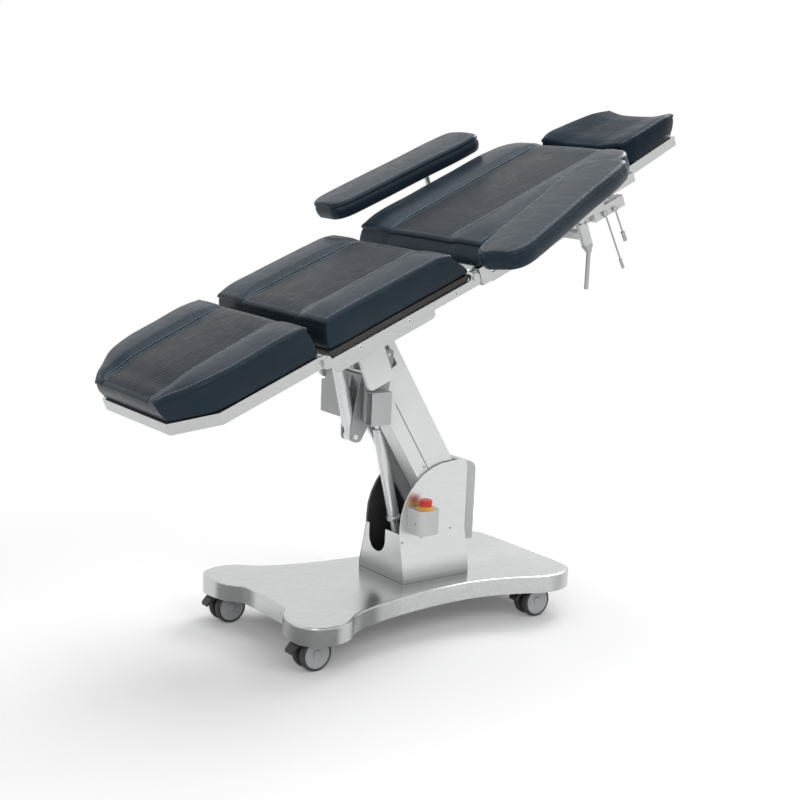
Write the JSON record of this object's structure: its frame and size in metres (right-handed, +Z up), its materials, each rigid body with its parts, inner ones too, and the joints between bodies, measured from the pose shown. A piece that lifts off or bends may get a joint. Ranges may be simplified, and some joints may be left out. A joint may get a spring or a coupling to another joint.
{
  "type": "operating table",
  "caption": "Wheeled operating table: a padded sectioned top with arm supports and a headrest, tilted and raised by a parallelogram lift arm.",
  "frame": {"origin": "on the floor under the middle of the whole table", "axes": "+X to the head end along the base, +Y to the side away from the emergency stop, +Z up"},
  "size_m": [1.8831, 1.0917, 1.5757],
  "materials": {
    "painted_cover": "satin",
    "dark_steel": "satin",
    "control_box_grey": "satin",
    "stop_yellow": "satin",
    "stop_red": "gloss",
    "black_plastic": "matte",
    "pad_leather": "satin",
    "caster_rubber": "matte",
    "caster_grey": "satin",
    "brushed_steel": "satin"
  },
  "bodies": {
    "base": {"base_cover": "brushed_steel", "chassis": "dark_steel", "pedestal_cheek_near": "painted_cover", "pedestal_cheek_far": "painted_cover", "pedestal_foot_panel": "dark_steel", "control_box": "control_box_grey", "estop_housing": "painted_cover", "estop_collar": "stop_yellow"},
    "estop_button": {"estop_button": "stop_red"},
    "lift_arm": {"lift_arm": "painted_cover", "lift_arm_cover": "painted_cover"},
    "level_link": {"level_link": "brushed_steel"},
    "lift_tube": {"lift_tube": "brushed_steel"},
    "lift_rod": {"lift_rod": "brushed_steel"},
    "level_head": {"level_head": "dark_steel", "level_head_cover_near": "painted_cover", "level_head_cover_far": "painted_cover", "tilt_shaft": "brushed_steel"},
    "tilt_tube": {"tilt_tube": "brushed_steel"},
    "tilt_rod": {"tilt_rod": "brushed_steel"},
    "seat": {"seat_frame": "brushed_steel", "seat_board": "black_plastic", "seat_bar_near": "brushed_steel", "seat_bar_far": "brushed_steel", "tilt_yoke_near": "brushed_steel", "tilt_yoke_far": "brushed_steel", "seat_cushion": "pad_leather"},
    "leg": {"leg_tray": "brushed_steel", "leg_cushion": "pad_leather"},
    "back": {"back_frame": "brushed_steel", "back_cushion": "pad_leather", "armrest_near_clamp": "dark_steel", "armrest_far_clamp": "dark_steel"},
    "headrest_bars": {"headrest_bars": "brushed_steel"},
    "headrest": {"headrest_tray": "brushed_steel", "headrest_cushion": "pad_leather"},
    "caster_foot_near": {"caster_foot_near_housing": "caster_grey"},
    "caster_foot_near_wheels": {"caster_foot_near_wheels": "caster_rubber"},
    "caster_foot_near_pedal": {"caster_foot_near_pedal": "black_plastic"},
    "caster_foot_far": {"caster_foot_far_housing": "caster_grey"},
    "caster_foot_far_wheels": {"caster_foot_far_wheels": "caster_rubber"},
    "caster_foot_far_pedal": {"caster_foot_far_pedal": "black_plastic"},
    "caster_head_near": {"caster_head_near_housing": "caster_grey"},
    "caster_head_near_wheels": {"caster_head_near_wheels": "caster_rubber"},
    "caster_head_near_pedal": {"caster_head_near_pedal": "black_plastic"},
    "caster_head_far": {"caster_head_far_housing": "caster_grey"},
    "caster_head_far_wheels": {"caster_head_far_wheels": "caster_rubber"},
    "caster_head_far_pedal": {"caster_head_far_pedal": "black_plastic"},
    "armrest_near_lever_long": {"armrest_near_lever_long": "brushed_steel"},
    "armrest_near_lever_short": {"armrest_near_lever_short": "black_plastic"},
    "armrest_near_bracket": {"armrest_near_bracket": "brushed_steel"},
    "armrest_near_support": {"armrest_near_post": "brushed_steel", "armrest_near_pad": "pad_leather"},
    "armrest_near_handle": {"armrest_near_handle": "brushed_steel"},
    "armrest_far_lever_long": {"armrest_far_lever_long": "brushed_steel"},
    "armrest_far_lever_short": {"armrest_far_lever_short": "black_plastic"},
    "armrest_far_bracket": {"armrest_far_bracket": "brushed_steel"},
    "armrest_far_support": {"armrest_far_post": "brushed_steel", "armrest_far_pad": "pad_leather"},
    "armrest_far_handle": {"armrest_far_handle": "brushed_steel"}
  },
  "joints": [
    {"name": "estop_press", "type": "slide", "parent": "base", "child": "estop_button", "axis": [0, 0, 1], "range_m": [-0.006, 0]},
    {"name": "lift", "type": "hinge", "parent": "base", "child": "lift_arm", "pos_m": [0.1204, 0.0664, 0.32], "axis": [0, 1, 0], "range_deg": [-33, 14]},
    {"name": "link_swing", "type": "hinge", "parent": "base", "child": "level_link", "pos_m": [0.1654, 0.0664, 0.375], "axis": [0, 1, 0], "range_deg": [-33.01, 14.01]},
    {"name": "lift_tube_swing", "type": "hinge", "parent": "base", "child": "lift_tube", "pos_m": [0.0184, 0.0944, 0.23], "axis": [0, 1, 0], "range_deg": [-30.25, 12.85]},
    {"name": "lift_rod_slide", "type": "slide", "parent": "lift_tube", "child": "lift_rod", "axis": [-0.2436, 0, 0.9699], "range_m": [-0.0742, 0.0316]},
    {"name": "head_level", "type": "hinge", "parent": "lift_arm", "child": "level_head", "pos_m": [-0.18278, 0.0664, 0.80032], "axis": [0, 1, 0], "range_deg": [-14.01, 33.01]},
    {"name": "table_tilt", "type": "hinge", "parent": "level_head", "child": "seat", "pos_m": [-0.18278, 0.0664, 0.80032], "axis": [0, 1, 0], "range_deg": [-2.65, 33]},
    {"name": "tilt_tube_swing", "type": "hinge", "parent": "level_head", "child": "tilt_tube", "pos_m": [-0.22678, 0.0264, 0.61132], "axis": [0, 1, 0], "range_deg": [-0.88, 10.9]},
    {"name": "tilt_rod_slide", "type": "slide", "parent": "tilt_tube", "child": "tilt_rod", "axis": [-0.2399, 0, 0.9708], "range_m": [-0.0035, 0.0426]},
    {"name": "leg_tilt", "type": "hinge", "parent": "seat", "child": "leg", "pos_m": [-0.49467, 0.0664, 0.89331], "axis": [0, 1, 0], "range_deg": [-90, 10]},
    {"name": "back_tilt", "type": "hinge", "parent": "seat", "child": "back", "pos_m": [0.01032, 0.0664, 1.10093], "axis": [0, 1, 0], "range_deg": [-56, 15]},
    {"name": "headrest_slide", "type": "slide", "parent": "back", "child": "headrest_bars", "axis": [0.9135, 0, 0.4067], "range_m": [0, 0.08]},
    {"name": "headrest_tilt", "type": "hinge", "parent": "headrest_bars", "child": "headrest", "pos_m": [0.68047, 0.0664, 1.37084], "axis": [0, 1, 0], "range_deg": [-12, 40]},
    {"name": "caster_foot_near_swivel", "type": "hinge", "parent": "base", "child": "caster_foot_near", "pos_m": [-0.4606, -0.1666, 0], "axis": [0, 0, 1], "continuous": true},
    {"name": "caster_foot_near_roll", "type": "hinge", "parent": "caster_foot_near", "child": "caster_foot_near_wheels", "pos_m": [-0.4716, -0.1666, 0.05], "axis": [0, 1, 0], "continuous": true},
    {"name": "caster_foot_near_lock", "type": "hinge", "parent": "caster_foot_near", "child": "caster_foot_near_pedal", "pos_m": [-0.4906, -0.1666, 0.1045], "axis": [0, 1, 0], "range_deg": [0, 7]},
    {"name": "caster_foot_far_swivel", "type": "hinge", "parent": "base", "child": "caster_foot_far", "pos_m": [-0.4606, 0.2994, 0], "axis": [0, 0, 1], "continuous": true},
    {"name": "caster_foot_far_roll", "type": "hinge", "parent": "caster_foot_far", "child": "caster_foot_far_wheels", "pos_m": [-0.4716, 0.2994, 0.05], "axis": [0, 1, 0], "continuous": true},
    {"name": "caster_foot_far_lock", "type": "hinge", "parent": "caster_foot_far", "child": "caster_foot_far_pedal", "pos_m": [-0.4906, 0.2994, 0.1045], "axis": [0, 1, 0], "range_deg": [0, 7]},
    {"name": "caster_head_near_swivel", "type": "hinge", "parent": "base", "child": "caster_head_near", "pos_m": [0.4004, -0.1286, 0], "axis": [0, 0, 1], "continuous": true},
    {"name": "caster_head_near_roll", "type": "hinge", "parent": "caster_head_near", "child": "caster_head_near_wheels", "pos_m": [0.3894, -0.1286, 0.05], "axis": [0, 1, 0], "continuous": true},
    {"name": "caster_head_near_lock", "type": "hinge", "parent": "caster_head_near", "child": "caster_head_near_pedal", "pos_m": [0.3704, -0.1286, 0.1045], "axis": [0, 1, 0], "range_deg": [0, 7]},
    {"name": "caster_head_far_swivel", "type": "hinge", "parent": "base", "child": "caster_head_far", "pos_m": [0.4004, 0.2614, 0], "axis": [0, 0, 1], "continuous": true},
    {"name": "caster_head_far_roll", "type": "hinge", "parent": "caster_head_far", "child": "caster_head_far_wheels", "pos_m": [0.3894, 0.2614, 0.05], "axis": [0, 1, 0], "continuous": true},
    {"name": "caster_head_far_lock", "type": "hinge", "parent": "caster_head_far", "child": "caster_head_far_pedal", "pos_m": [0.3704, 0.2614, 0.1045], "axis": [0, 1, 0], "range_deg": [0, 7]},
    {"name": "armrest_near_long_lever_turn", "type": "hinge", "parent": "back", "child": "armrest_near_lever_long", "pos_m": [0.48467, -0.2416, 1.2771], "axis": [0, 1, 0], "range_deg": [0, 35]},
    {"name": "armrest_near_short_lever_turn", "type": "hinge", "parent": "back", "child": "armrest_near_lever_short", "pos_m": [0.52467, -0.2416, 1.29053], "axis": [0, 1, 0], "range_deg": [-35, 0]},
    {"name": "armrest_near_pitch", "type": "hinge", "parent": "back", "child": "armrest_near_bracket", "pos_m": [0.44658, 0.0664, 1.30119], "axis": [0, 1, 0], "range_deg": [0, 20]},
    {"name": "armrest_near_swing", "type": "hinge", "parent": "armrest_near_bracket", "child": "armrest_near_support", "pos_m": [0.28214, -0.3736, 1.22798], "axis": [-0.4067, 0, 0.9135], "range_deg": [-15, 60]},
    {"name": "armrest_near_handle_turn", "type": "hinge", "parent": "armrest_near_bracket", "child": "armrest_near_handle", "pos_m": [0.29284, -0.3736, 1.20395], "axis": [-0.4067, 0, 0.9135], "range_deg": [-45, 45]},
    {"name": "armrest_far_long_lever_turn", "type": "hinge", "parent": "back", "child": "armrest_far_lever_long", "pos_m": [0.48467, 0.3744, 1.2771], "axis": [0, 1, 0], "range_deg": [0, 35]},
    {"name": "armrest_far_short_lever_turn", "type": "hinge", "parent": "back", "child": "armrest_far_lever_short", "pos_m": [0.52467, 0.3744, 1.29053], "axis": [0, 1, 0], "range_deg": [-35, 0]},
    {"name": "armrest_far_pitch", "type": "hinge", "parent": "back", "child": "armrest_far_bracket", "pos_m": [0.44658, 0.0664, 1.30119], "axis": [0, 1, 0], "range_deg": [0, 20]},
    {"name": "armrest_far_swing", "type": "hinge", "parent": "armrest_far_bracket", "child": "armrest_far_support", "pos_m": [0.37914, 0.4624, 1.27325], "axis": [-0.3827, 0, 0.9239], "range_deg": [-75, 0]},
    {"name": "armrest_far_handle_turn", "type": "hinge", "parent": "armrest_far_bracket", "child": "armrest_far_handle", "pos_m": [0.3892, 0.4624, 1.24895], "axis": [-0.3827, 0, 0.9239], "range_deg": [-45, 45]}
  ],
  "couplings": [
    {"joint": "link_swing", "follows": "lift", "ratio": 1},
    {"joint": "lift_tube_swing", "follows": "lift", "ratio": 0.915},
    {"joint": "lift_rod_slide", "follows": "lift", "m_per_rad": 0.1286},
    {"joint": "head_level", "follows": "lift", "ratio": -1},
    {"joint": "tilt_tube_swing", "follows": "table_tilt", "ratio": 0.3286},
    {"joint": "tilt_rod_slide", "follows": "table_tilt", "m_per_rad": 0.0737}
  ]
}
